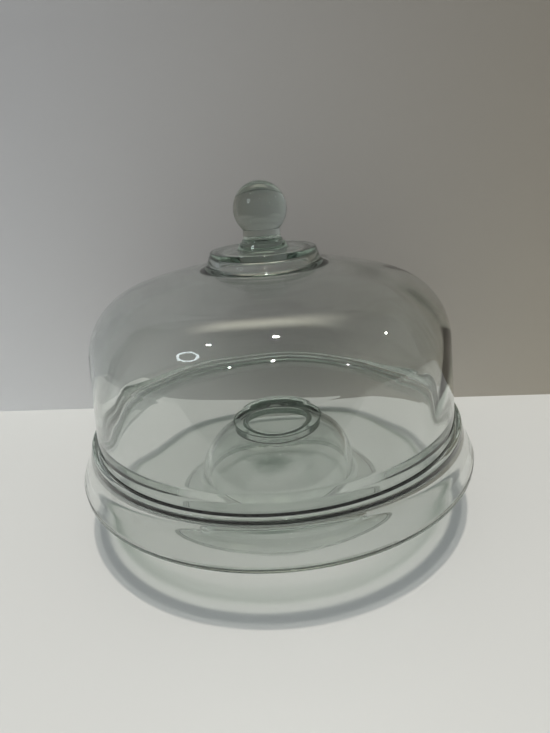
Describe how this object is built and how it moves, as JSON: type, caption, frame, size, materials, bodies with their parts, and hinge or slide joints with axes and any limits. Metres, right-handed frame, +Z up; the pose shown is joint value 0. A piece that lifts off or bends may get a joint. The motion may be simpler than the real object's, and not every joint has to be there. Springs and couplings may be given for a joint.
{
  "type": "glass cake stand with dome",
  "caption": "Clear pressed-glass cake stand with a flat plate, deep flared skirt and hollow bell foot, under a loose glass dome with a raised boss and a solid ball knob.",
  "frame": {"origin": "on the common axis of both pieces, at the height of the surface that the foot stands on", "axes": "+Z up along the axis of the stand, the dome and the knob; the part is the same all round it"},
  "size_m": [0.32, 0.32, 0.2635],
  "materials": {
    "stand_glass": "fire-polished clear soda-lime glass, faintly green-grey where it is thick",
    "dome_glass": "fire-polished clear soda-lime glass, faintly green-grey where it is thick"
  },
  "bodies": {
    "root": {"cake_stand": "stand_glass", "glass_dome": "dome_glass"}
  },
  "joints": []
}
